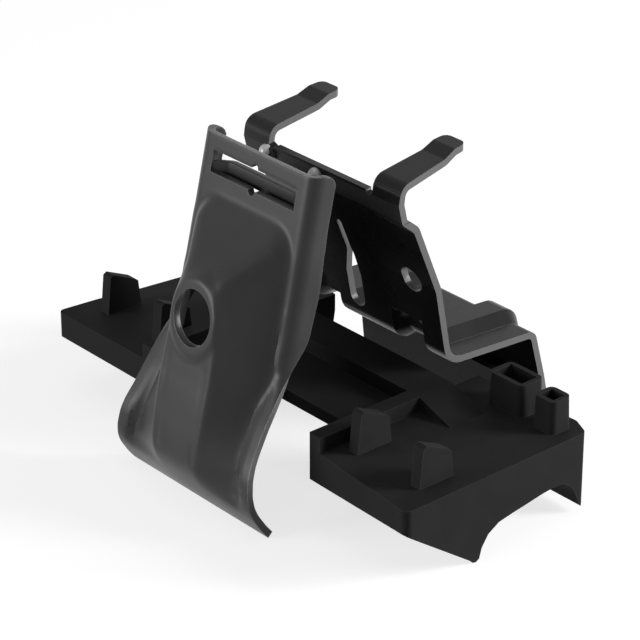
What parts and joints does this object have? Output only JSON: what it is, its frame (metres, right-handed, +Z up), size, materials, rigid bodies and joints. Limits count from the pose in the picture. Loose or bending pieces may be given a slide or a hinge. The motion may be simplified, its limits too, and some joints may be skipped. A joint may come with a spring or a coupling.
{
  "type": "roof rack fit kit",
  "caption": "Roof rack fit kit for one foot: moulded rubber rail pad with a pressed outer clamp bracket and a pronged inner bracket.",
  "frame": {"origin": "middle of the kit's bounding box, on the floor it stands on", "axes": "+Z up, +X along the roof rail, -Y towards the outer side of the vehicle where the outer bracket stands"},
  "size_m": [0.187, 0.135, 0.1186],
  "materials": {
    "pad_rubber": "matte moulded rubber",
    "outer_steel": "satin black coating",
    "inner_steel": "satin black coating"
  },
  "bodies": {
    "root": {"rail_pad": "pad_rubber", "outer_bracket": "outer_steel", "inner_bracket": "inner_steel"}
  },
  "joints": []
}
